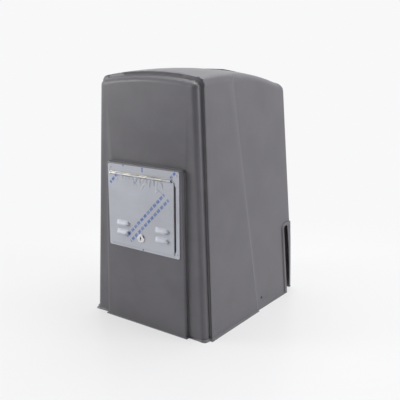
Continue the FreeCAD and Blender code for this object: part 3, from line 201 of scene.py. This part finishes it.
MATERIALS = {
    # Charcoal ASA, vacuum-moulded and lightly textured: a satin grey.
    "cover_plastic": moulded("asa_charcoal_textured", "615f64", "6a686d", roughness=0.4, grain_mm=0.9,
                             depth_mm=0.02),
    # Stainless sheet, brushed along its length: streaks that spread its reflections across them.
    "door_steel": metal("stainless_304_brushed", "b4b6be", "c6c8d0", roughness=0.34, grain_mm=0.9,
                        depth_mm=0.006, stretch=(40, 1, 1)),
    # Piano hinge in steel: the grey is the steel's own, and the warm tint is a painted reflection of the warm
    # light seen on its knuckles.
    "hinge_steel": metal("steel_warm_reflection_tint", "a5a29c", "bebbb5", roughness=0.42, grain_mm=0.8, depth_mm=0.01),
    # Chromed die-cast zinc: nearly a mirror.
    "lock_chrome": metal("zinc_alloy_chromed", "c9c9cc", "dcdcdf", roughness=0.1, grain_mm=1.5,
                         depth_mm=0.002),
    "zinc_steel": galvanised("steel_galvanised"),
    "chassis_paint": coated("steel_black_powder_coat", "141517", "1d1e21"),
    # Sand-cast iron under paint: dull, and rough to the touch.
    "gearbox_iron": metal("iron_sand_cast_painted", "35383b", "45494d", roughness=0.55, grain_mm=1.4,
                          depth_mm=0.12, metallic=0.0),
    "shaft_steel": metal("steel_ground", "8c8d90", "a6a7aa", roughness=0.25, grain_mm=0.5, depth_mm=0.006),
    "brass_fittings": metal("bronze_machined", "9c7b40", "bd9a58", roughness=0.3, grain_mm=0.5,
                            depth_mm=0.006),
    "black_rubber": moulded("rubber_black", "141414", "1e1e1e", roughness=0.8, grain_mm=0.6, depth_mm=0.04),
    "black_plastic": moulded("polyamide_black", "18181a", "222225", roughness=0.45, grain_mm=0.5,
                             depth_mm=0.015),
    "idler_nylon": moulded("nylon_natural", "c9c4b4", "d9d5c8", roughness=0.45, grain_mm=1.2, depth_mm=0.01),
    "pulley_aluminium": metal("aluminium_turned", "b4b5b8", "cccdd0", roughness=0.28, grain_mm=0.6,
                              depth_mm=0.008),
    "motor_aluminium": metal("aluminium_die_cast", "97999b", "acaeb0", roughness=0.48, grain_mm=1.0,
                             depth_mm=0.06),
    "motor_paint": coated("steel_grey_enamel", "25282b", "303438", roughness=0.35),
    "board_green": circuit_board("solder_mask_green"),
    "terminal_green": moulded("polyamide_green", "2f8a45", "3c9c53", roughness=0.42, grain_mm=0.5,
                              depth_mm=0.01),
    # Smoked acrylic before the display's digits: glossy and nearly black.
    "display_glass": moulded("acrylic_smoked", "101318", "171b22", roughness=0.12, grain_mm=3.0,
                             depth_mm=0.002),
    # Polyester tape wound round the transformer: glossy, with soft waves.
    "transformer_wrap": moulded("polyester_tape_yellow", "b59a2e", "c9b04a", roughness=0.3, grain_mm=2.0,
                                depth_mm=0.05),
    "stop_red": moulded("abs_red", "9e1414", "b81c1c", roughness=0.25, grain_mm=0.8, depth_mm=0.006),
    "open_green": moulded("abs_green", "157a34", "1f9243", roughness=0.25, grain_mm=0.8, depth_mm=0.006),
    "release_red": coated("steel_red_enamel", "9c1710", "b3211a", roughness=0.3),
}


def dress(mesh, material):
    """Gives a mesh one material in place of those it has."""
    mesh.materials.clear()
    mesh.materials.append(material)


SLOTS = {part["node"]: part["material_slot"] for part in frame["record"]["subparts"]}
for name, node in NODES.items():
    dress(node.data, MATERIALS[SLOTS[name]])


# ---------------------------------------------------------------- forms over CAD nodes

MERGE_MM = 0.02
SMOOTH_BELOW = math.radians(32)


def new_piece(name, mesh):
    """An object in the scene, at the origin as every piece is."""
    piece = bpy.data.objects.new(name, mesh)
    scene.collection.objects.link(piece)
    return piece


def copy_of(node, name, material, place_of):
    """A merged copy of a CAD node's mesh, each of whose points goes where place_of says, in millimetres."""
    mesh = NODES[node].data.copy()
    mesh.name = name
    form = bmesh.new()
    form.from_mesh(mesh)
    bmesh.ops.remove_doubles(form, verts=form.verts, dist=MERGE_MM * MM)
    for vert in form.verts:
        vert.co = Vector(place_of(*(vert.co / MM))) * MM
    form.to_mesh(mesh)
    form.free()
    dress(mesh, material)
    piece = new_piece(name, mesh)
    bpy.ops.object.select_all(action="DESELECT")
    piece.select_set(True)
    bpy.context.view_layer.objects.active = piece
    bpy.ops.object.shade_smooth_by_angle(angle=SMOOTH_BELOW)
    weighted = piece.modifiers.new("weighted_normals", "WEIGHTED_NORMAL")
    weighted.keep_sharp = True
    weighted.weight = 100
    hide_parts(node)
    return piece


def ramp(value, start, length):
    """0 up to start, 1 from length past it, and straight between."""
    return min(max((value - start) / length, 0), 1)


def between(value, stops):
    """Value carried from the first numbers of stops to the second ones, in straight runs."""
    for (low, low_to), (high, high_to) in zip(stops, stops[1:]):
        if value < high:
            break
    if value < stops[0][0]:
        return value - stops[0][0] + stops[0][1]
    if value > stops[-1][0]:
        return value - stops[-1][0] + stops[-1][1]
    return low_to + (value - low) * (high_to - low_to) / (high - low)


# The CAD cover's radii, and how far its faces lean per millimetre of height: sides, front, rear, and step.
REAR_RADIUS, NOSE_RADIUS, TIGHT_RADIUS = 30, 22, 13
SIDE_LEAN, FRONT_LEAN, REAR_LEAN, STEP_LEAN = 0.04086, 0.0047, 0.0699, 0.1634
COVER_TOP, FIELD_TOP = 620.0, 407

# Lines of the cover, in millimetres. Each has its place at the floor and its gain per millimetre of height,
# on the CAD node and then on the moulded cover, and the height up to which the moulded cover's line gains.
LINES_OUT = (                                                            # distance from the middle plane
    (0, 0, 0, 0, COVER_TOP),
    (120, 0, 120, -0.021, FIELD_TOP),                                    # the door's field, before its edge
    (128, 0, 127.5, -0.0227, FIELD_TOP),                                 # and at its edge
    (177.5, -SIDE_LEAN, 175.8, -0.0483, COVER_TOP),                      # side of the nose
    (185.5, -SIDE_LEAN, 182.3, -0.0503, COVER_TOP),                      # side of the hood
)
LINES_BACK = (                                                           # along Y
    (-229, 0, -229, 0, COVER_TOP),                                       # face of the door's field
    (-217, FRONT_LEAN, -221, 0.0127, COVER_TOP),                         # face of the nose
    (-203.2, FRONT_LEAN, -201.2, 0.0115, COVER_TOP),                     # hood's front, beside the nose
    (4.2, -STEP_LEAN, 6.6, -0.1484, COVER_TOP),                          # slanted step, from here
    (14.2, -STEP_LEAN, 16.6, -0.1484, COVER_TOP),                        # to here
    (162.5, -REAR_LEAN, 160.5, -REAR_LEAN, COVER_TOP),                   # rim of the chain slot
    (171, -REAR_LEAN, 170, -REAR_LEAN, COVER_TOP),                       # front of the chain slot
    (212, -REAR_LEAN, 215.5, -0.0734, COVER_TOP),                        # rear
)

REAR_CENTRE = (150.4, 182)   # of the rear corners' arc at the floor
NOSE_CENTRE = (155.5, -195)  # of the nose corners' arc at the floor
NOSE_ROOT = -204

FIELD_EDGE_HALF, FIELD_EDGE_FRONT = 129, -205
FIELD_EDGE_LOW, FIELD_EDGE_HIGH, FIELD_DROP = 380, 415, 5

ROOF_FOOT, ROOF_FULL = 540, 45       # the lift starts at this height, and is whole so much above it
ROOF_LIFT, CREST_LIFT_LESS = 5.5, 4.5
CREST_START, CREST_RUN, CREST_HALF = -60, 50, 80
EAVES_START, EAVES_RUN, EAVES_LESS = 120, 40, 0.4

SCREW_BACK, SCREW_HEIGHT, SCREW_REACH = 28, 31, 4.5
SCREW_MOVED_BACK, SCREW_MOVED_DOWN = 3, 2.5


def tighter(x, y, centre_x, centre_y, radius):
    """Carries an arc of this radius about a centre out to a corner of TIGHT_RADIUS."""
    across, away = abs(x) - centre_x, (y - centre_y) * math.copysign(1, centre_y)
    if across <= 0 or away <= 0:
        return x, y
    angle = math.atan2(away, across)
    angle = min(angle, math.pi / 2 - angle)
    straight = radius - TIGHT_RADIUS
    reach = radius / math.cos(angle)
    if reach * math.sin(angle) > straight:
        inner = straight * (math.cos(angle) + math.sin(angle))
        reach = inner + math.sqrt(inner ** 2 - 2 * straight ** 2 + TIGHT_RADIUS ** 2)
    grow = reach / radius
    return math.copysign(centre_x + across * grow, x), centre_y + (y - centre_y) * grow


def stops(lines, up):
    """Where the lines are at a height, on the CAD node and on the moulded cover."""
    return [(place + lean * up, to_place + to_lean * min(up, top))
            for place, lean, to_place, to_lean, top in lines]


def moulded_place(x, y, z):
    """The cover as vacuum moulding leaves it: more draft on the sides, tighter corners, and a higher roof."""
    up = min(max(z, 0.0), COVER_TOP)
    x, y = tighter(x, y, REAR_CENTRE[0] - SIDE_LEAN * up, REAR_CENTRE[1] - REAR_LEAN * up, REAR_RADIUS)
    if y < NOSE_ROOT:
        x, y = tighter(x, y, NOSE_CENTRE[0] - SIDE_LEAN * up, NOSE_CENTRE[1] + FRONT_LEAN * up, NOSE_RADIUS)
    out = between(abs(x), stops(LINES_OUT, up))
    back = between(y, stops(LINES_BACK, up))
    if y < FIELD_EDGE_FRONT and abs(x) < FIELD_EDGE_HALF and FIELD_EDGE_LOW < z < FIELD_EDGE_HIGH:
        z -= FIELD_DROP
    on_crest = ramp(y, CREST_START, CREST_RUN) * (1 - min((x / CREST_HALF) ** 2, 1))
    lift = ROOF_LIFT - CREST_LIFT_LESS * on_crest
    lift *= 1 - EAVES_LESS * ramp(abs(x), EAVES_START, EAVES_RUN)
    z += lift * ramp(z, ROOF_FOOT, ROOF_FULL)
    if abs(y - SCREW_BACK) < SCREW_REACH and abs(z - SCREW_HEIGHT) < SCREW_REACH:
        back += SCREW_MOVED_BACK
        z -= SCREW_MOVED_DOWN
    return math.copysign(out, x), back, z


TAB_WALLS_FROM, TAB_SHIFT = 160, 3.4


def tab_place(x, y, z):
    """The tabs' walls follow the cover's."""
    return (x - math.copysign(TAB_SHIFT, x) if abs(x) > TAB_WALLS_FROM else x), y, z


STRIP_FLAT_FOOT, STRIP_FLAT_SHOWN = 377.4, 0.3


def hinge_place(x, y, z):
    """Most of the strip's flat lies under the film, so little shows above its knuckles."""
    return x, y, min(z, STRIP_FLAT_FOOT) + max(z - STRIP_FLAT_FOOT, 0) * STRIP_FLAT_SHOWN


cover_shell = copy_of("cover", "cover_shell", MATERIALS["cover_plastic"], moulded_place)
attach(cover_shell, "cover")
# The tabs take the black powder coat in place of their zinc, so that the screw hole in the cover shows dark:
# painted shade.
cover_tabs = copy_of("cover_tabs", "cover_tab_pair", MATERIALS["chassis_paint"], tab_place)
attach(cover_tabs, "chassis")
hinge_strip = copy_of("hinge_frame_strip", "hinge_strip", MATERIALS["hinge_steel"], hinge_place)
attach(hinge_strip, "cover")


# ---------------------------------------------------------------- keyhole, as painted shade

KEY_THROAT, KEY_SLOT_HALF, KEY_SLOT_REACH = 2.4, 1.1, 5.2
KEY_STEPS = 48
KEY_ROWS = ((1.0, 0.0), (1.0, -0.12), (0.82, -0.2))  # share of the outline, and height over the plug's face


def lock_keyhole_shade():
    """A black sheet in the keyhole's shape, a round throat with a slot across it, on the face of the lock's
    plug: painted shade for the dark inside the hole.
    """
    low, high = [[c / MM for c in corner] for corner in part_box("lock_plug")]
    centre_x, centre_z, face = (low[0] + high[0]) / 2, (low[2] + high[2]) / 2, low[1]
    outline = []
    for step in range(KEY_STEPS):
        angle = 2 * math.pi * step / KEY_STEPS
        x, z = math.cos(angle), math.sin(angle)
        reach = max(KEY_THROAT, min(KEY_SLOT_HALF / max(abs(x), 0.01), KEY_SLOT_REACH))
        outline.append((reach * x, reach * z))
    form = bmesh.new()
    rows = []
    for share, height in KEY_ROWS:
        rows.append([form.verts.new(((centre_x + x * share) * MM, (face + height) * MM,
                                     (centre_z + z * share) * MM)) for x, z in outline])
    for one, two in zip(rows, rows[1:]):
        for index in range(KEY_STEPS):
            after = (index + 1) % KEY_STEPS
            form.faces.new((one[index], one[after], two[after], two[index]))
    form.faces.new(rows[-1])
    form.faces.new(list(reversed(rows[0])))
    bmesh.ops.recalc_face_normals(form, faces=form.faces)
    mesh = bpy.data.meshes.new("lock_keyhole_shade")
    form.to_mesh(mesh)
    form.free()
    piece = new_piece("lock_keyhole_shade", mesh)
    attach(piece, "door_lock")
    # Black, as painted shade for the inside of the keyhole.
    mesh.materials.append(MATERIALS["black_plastic"])


lock_keyhole_shade()


# ---------------------------------------------------------------- film on the door

LEAF_LOW, LEAF_HIGH = [[c / MM for c in corner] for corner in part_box("access_door")]
STEEL_FRONT = -232.3

FILM_TOP, FILM_MARGIN, FILM_CORNER = 371.2, 0.6, 2.4
FILM_GAP, FILM_THICKNESS = 0.15, 0.1
FILM_COLUMNS, FILM_ROWS = 190, 160

LOUVRES = [(side * 61 - 1.5, height) for side in (-1, 1) for height in (253.5, 230.8)]
LOUVRE_HALF, LOUVRE_TALL, LOUVRE_RISE = 19.0, 13.0, 6.2
LOUVRE_SWELL, LOUVRE_ENDS = 0.8, 6   # powers: the rise is quick at the top, and full until near the ends

LOCK_X, LOCK_Z, LOCK_RADIUS = -5.0, 224.5, 11.4

CREASE_TOP, CREASE_HALF, CREASE_START = 371.0, 2.0, 0.15
CREASE_PLACES = (-74, -60, -48, -41, -30, -21, -12, -4, 6, 15, 27, 38, 47, 56, 63)
chance = random.Random(7)
# Each crease has its place and its top, how far it leans per millimetre, its length and its depth.
CREASES = [(x + chance.uniform(-3, 3), CREASE_TOP, chance.uniform(-0.5, 0.5), chance.uniform(6, 25),
            chance.uniform(0.8, 2.0)) for x in CREASE_PLACES]
CREASES += [(44, 352, 1.6, 12, 1.4), (50, 349, -1.0, 9, 1.2), (-26, 362, 0.9, 14, 1.0),
            (8, 358, -0.7, 16, 1.2)]


def film_rise(x, z):
    """How far the film stands off the steel at a point, in millimetres: over louvres, and in creases."""
    rise = FILM_GAP
    for centre, height in LOUVRES:
        across = abs(x - centre) / LOUVRE_HALF
        down = (height - z) / LOUVRE_TALL + 0.5
        if across < 1 and 0 <= down <= 1:
            swell = math.sin(math.pi / 2 * down ** LOUVRE_SWELL) * math.sqrt(1 - across ** LOUVRE_ENDS)
            rise = FILM_GAP + LOUVRE_RISE * swell
    for start, top, lean, length, depth in CREASES:
        down = top - z
        if 0 <= down <= length:
            away = abs(x - start - lean * down) / CREASE_HALF
            if away < 1:
                along = CREASE_START + (1 - CREASE_START) * down / length
                rise += depth * (1 - away * away) * math.sin(math.pi * along)
    return rise


def door_film():
    """Protective film over the door's leaf, on a grid about 1 mm apart, with a hole for the lock."""
    form = bmesh.new()
    low_x, high_x = LEAF_LOW[0] + FILM_MARGIN, LEAF_HIGH[0] - FILM_MARGIN
    low_z, high_z = LEAF_LOW[2] + FILM_MARGIN, FILM_TOP
    grid = []
    for row in range(FILM_ROWS + 1):
        z = low_z + (high_z - low_z) * row / FILM_ROWS
        line = []
        for column in range(FILM_COLUMNS + 1):
            x = low_x + (high_x - low_x) * column / FILM_COLUMNS
            # The lower corners are rounded.
            from_x = max(low_x + FILM_CORNER - x, x - high_x + FILM_CORNER, 0)
            from_z = max(low_z + FILM_CORNER - z, 0)
            span = math.hypot(from_x, from_z)
            px, pz = x, z
            if span > FILM_CORNER:
                px += math.copysign(from_x * (1 - FILM_CORNER / span), -x)
                pz += from_z * (1 - FILM_CORNER / span)
            # Points inside the lock's hole go out to its edge.
            away = math.hypot(px - LOCK_X, pz - LOCK_Z)
            if 0 < away < LOCK_RADIUS:
                px = LOCK_X + (px - LOCK_X) * LOCK_RADIUS / away
                pz = LOCK_Z + (pz - LOCK_Z) * LOCK_RADIUS / away
            line.append(form.verts.new((px * MM, (STEEL_FRONT - film_rise(px, pz)) * MM, pz * MM)))
        grid.append(line)
    for row in range(FILM_ROWS):
        for column in range(FILM_COLUMNS):
            around = [grid[row][column], grid[row][column + 1],
                      grid[row + 1][column + 1], grid[row + 1][column]]
            inside = [math.hypot(v.co.x / MM - LOCK_X, v.co.z / MM - LOCK_Z) <= LOCK_RADIUS + 0.01
                      for v in around]
            if not all(inside):
                form.faces.new(around)
    bmesh.ops.delete(form, geom=[v for v in form.verts if not v.link_faces], context="VERTS")
    mesh = bpy.data.meshes.new("door_film")
    form.to_mesh(mesh)
    form.free()
    piece = new_piece("door_film", mesh)
    for face in mesh.polygons:
        face.use_smooth = True
    thick = piece.modifiers.new("film_thickness", "SOLIDIFY")
    thick.thickness = FILM_THICKNESS * MM
    thick.offset = -1
    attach(piece, "access_door")
    return piece


INK = "2d5fae"
DASH_STEP, DASH_GAP = 10, 2.6
# Marks of ink on the film, in millimetres: the axis across each, its place and half width there, the axis
# along it, and its middle and half length there. Those across the slant are dashed.
INK_MARKS = (
    ("slant", 272.8, 5.2, "rise", 290, 119),
    ("slant", 249.7, 5.2, "rise", 292, 119),
    ("slant", 451, 5.2, "rise", 275, 27),
    ("slant", 295.6, 4.5, "rise", 480, 14),
    ("X", 0.6, 2.4, "Z", 391, 5.5),
    ("X", -1.1, 2.2, "Z", 196, 3.0),
    ("X", -59.3, 3.0, "Z", 395.2, 2.0),
)


def filmed_steel(name):
    """Stainless sheet under its milky protective film: satin, bluish, with the grain faintly through it."""
    made, tree, shader, place = new_material(name, Metallic=0.25, Coat_Weight=0.25, Coat_Roughness=0.35)
    patches, _, tone = grained(tree, place, patch_mm=70, grain_mm=0.8, share=0.35, stretch=(30, 1, 1),
                               patch_stretch=(1.6, 1, 1))
    drive(tree, shader, "Base Color", tone, "b2b4bd", "bfc1ca", spread=(0.5, 0.85))
    drive(tree, shader, "Roughness", patches, 0.42, 0.52)
    press(tree, shader, mottle(tree, place, 9), 0.03)

    split = add(tree, "SeparateXYZ", links={0: place}).outputs
    axes = {"X": split["X"], "Z": split["Z"]}
    axes["rise"] = add(tree, "Math", {"operation": "ADD"}, {0: axes["X"], 1: axes["Z"]}).outputs[0]
    axes["slant"] = add(tree, "Math", {"operation": "SUBTRACT"}, {0: axes["Z"], 1: axes["X"]}).outputs[0]
    beat = add(tree, "Math", {"operation": "PINGPONG", 1: DASH_STEP * MM}, {0: axes["rise"]})
    dashes = add(tree, "Math", {"operation": "GREATER_THAN", 1: DASH_GAP * MM}, {0: beat.outputs[0]})
    marks = None
    for across, centre, half, along, middle, half_length in INK_MARKS:
        width = add(tree, "Math", {"operation": "COMPARE", 1: centre * MM, 2: half * MM}, {0: axes[across]})
        length = add(tree, "Math", {"operation": "COMPARE", 1: middle * MM, 2: half_length * MM},
                     {0: axes[along]})
        mark = add(tree, "Math", {"operation": "MULTIPLY"}, {0: width.outputs[0], 1: length.outputs[0]})
        if across == "slant":
            mark = add(tree, "Math", {"operation": "MULTIPLY"}, {0: mark.outputs[0], 1: dashes.outputs[0]})
        if marks:
            mark = add(tree, "Math", {"operation": "MAXIMUM"}, {0: marks.outputs[0], 1: mark.outputs[0]})
        marks = mark
    wear = add(tree, "MapRange", {"From Min": NOISE_SPREAD[0], "From Max": NOISE_SPREAD[1], "To Min": 0.45,
                                  "To Max": 0.85}, {"Value": mottle(tree, place, 6, detail=4.0)})
    faded = add(tree, "Math", {"operation": "MULTIPLY"}, {0: marks.outputs[0], 1: wear.outputs["Result"]})
    bare = shader.inputs["Base Color"].links[0].from_socket
    inked = add(tree, "Mix", {"data_type": "RGBA", 7: linear(INK)}, {0: faded.outputs[0], 6: bare})
    tree.links.new(inked.outputs[2], shader.inputs["Base Color"])
    return made


FILMED = filmed_steel("stainless_304_under_film")
door_film().data.materials.append(FILMED)
for name in ("door_frame_plate", "access_door"):
    dress(NODES[name].data, FILMED)


# ---------------------------------------------------------------- studio

AIR = linear("f8f8f9")
FLOOR_M = 60
FADE_START_M, FADE_END_M, FADE_LEAST = 0.3, 1.4, 0.62
DARK_SIDE = (0.59, -0.81, 0.0)   # towards the camera's place
AIR_LIGHT = 0.42
LAMPS_AIM = Vector((0, 0, 0.3))


def seen_directly(tree):
    """1 for rays that end in a picture: from the camera, in a reflection or through glass."""
    rays = add(tree, "LightPath").outputs
    seen = add(tree, "Math", {"operation": "MAXIMUM"}, {0: rays["Is Camera Ray"], 1: rays["Is Glossy Ray"]})
    return add(tree, "Math", {"operation": "MAXIMUM"},
               {0: seen.outputs[0], 1: rays["Is Transmission Ray"]}).outputs[0]


def studio_floor_material(name):
    """White acrylic table that runs out into the colour of the studio's air, with no horizon."""
    made, tree, shader, place = new_material(name, Base_Color=linear("f2f2f3"), Roughness=0.3)
    far = add(tree, "VectorMath", {"operation": "LENGTH"}, {0: place}).outputs["Value"]
    fade = add(tree, "MapRange", {"interpolation_type": "SMOOTHERSTEP", "From Min": FADE_START_M,
                                  "From Max": FADE_END_M, "To Min": FADE_LEAST}, {"Value": far})
    amount = add(tree, "Math", {"operation": "MULTIPLY"}, {0: fade.outputs["Result"], 1: seen_directly(tree)})
    glow = add(tree, "Emission", {"Color": AIR, "Strength": 1.0})
    both = add(tree, "MixShader", links={0: amount.outputs[0], 1: shader.outputs[0], 2: glow.outputs[0]})
    tree.links.new(both.outputs[0], tree.nodes["Material Output"].inputs["Surface"])
    return made


def studio_air():
    """The world: the air's own colour where it is seen, and a softer light that is dark on one side.

    The dark side is behind the camera's place, so edges that face it stay dark."""
    world = bpy.data.worlds.new("studio_air")
    world.use_nodes = True
    tree = world.node_tree
    tree.nodes.clear()
    outward = add(tree, "TexCoord").outputs["Generated"]
    facing = add(tree, "VectorMath", {"operation": "DOT_PRODUCT", 1: DARK_SIDE}, {0: outward})
    flag = add(tree, "MapRange", {"From Min": 0.1, "From Max": 0.85, "To Min": 1.0, "To Max": 0.1},
               {"Value": facing.outputs["Value"]}).outputs["Result"]
    strength = add(tree, "Math", {"operation": "MULTIPLY", 1: AIR_LIGHT}, {0: flag}).outputs[0]
    rays = add(tree, "LightPath").outputs
    lit = add(tree, "Background", {"Color": (1, 1, 1, 1)}, {"Strength": strength})
    mirrored = add(tree, "Background", {"Color": AIR}, {"Strength": flag})
    shown = add(tree, "Background", {"Color": AIR, "Strength": 1.0})
    unseen = add(tree, "MixShader", links={0: rays["Is Glossy Ray"], 1: lit.outputs[0],
                                           2: mirrored.outputs[0]})
    straight = add(tree, "Math", {"operation": "MAXIMUM"},
                   {0: rays["Is Camera Ray"], 1: rays["Is Transmission Ray"]})
    pick = add(tree, "MixShader", links={0: straight.outputs[0], 1: unseen.outputs[0], 2: shown.outputs[0]})
    add(tree, "OutputWorld", links={"Surface": pick.outputs[0]})
    return world


def softbox(name, place, width, height, power):
    """A large soft lamp at place, in metres and watts, that faces the motor."""
    data = bpy.data.lights.new(name, "AREA")
    data.shape = "RECTANGLE"
    data.size = width
    data.size_y = height
    data.energy = power
    lamp = bpy.data.objects.new(name, data)
    scene.collection.objects.link(lamp)
    lamp.location = place
    lamp.rotation_mode = "QUATERNION"
    lamp.rotation_quaternion = (LAMPS_AIM - Vector(place)).to_track_quat("-Z", "Y")


bpy.ops.mesh.primitive_plane_add(size=FLOOR_M, location=(0, 0, 0))
floor = bpy.context.object
floor.name = "studio_floor"
floor.data.materials.append(studio_floor_material("studio_white_acrylic"))

scene.world = studio_air()

softbox("lamp_left", (-2.5, -1.9, 1.4), width=1.3, height=1.8, power=47)
softbox("lamp_right", (2.5, 0.9, 1.5), width=1.5, height=1.8, power=36)
softbox("lamp_top", (0, 0.5, 2.4), width=1.8, height=1.8, power=34)
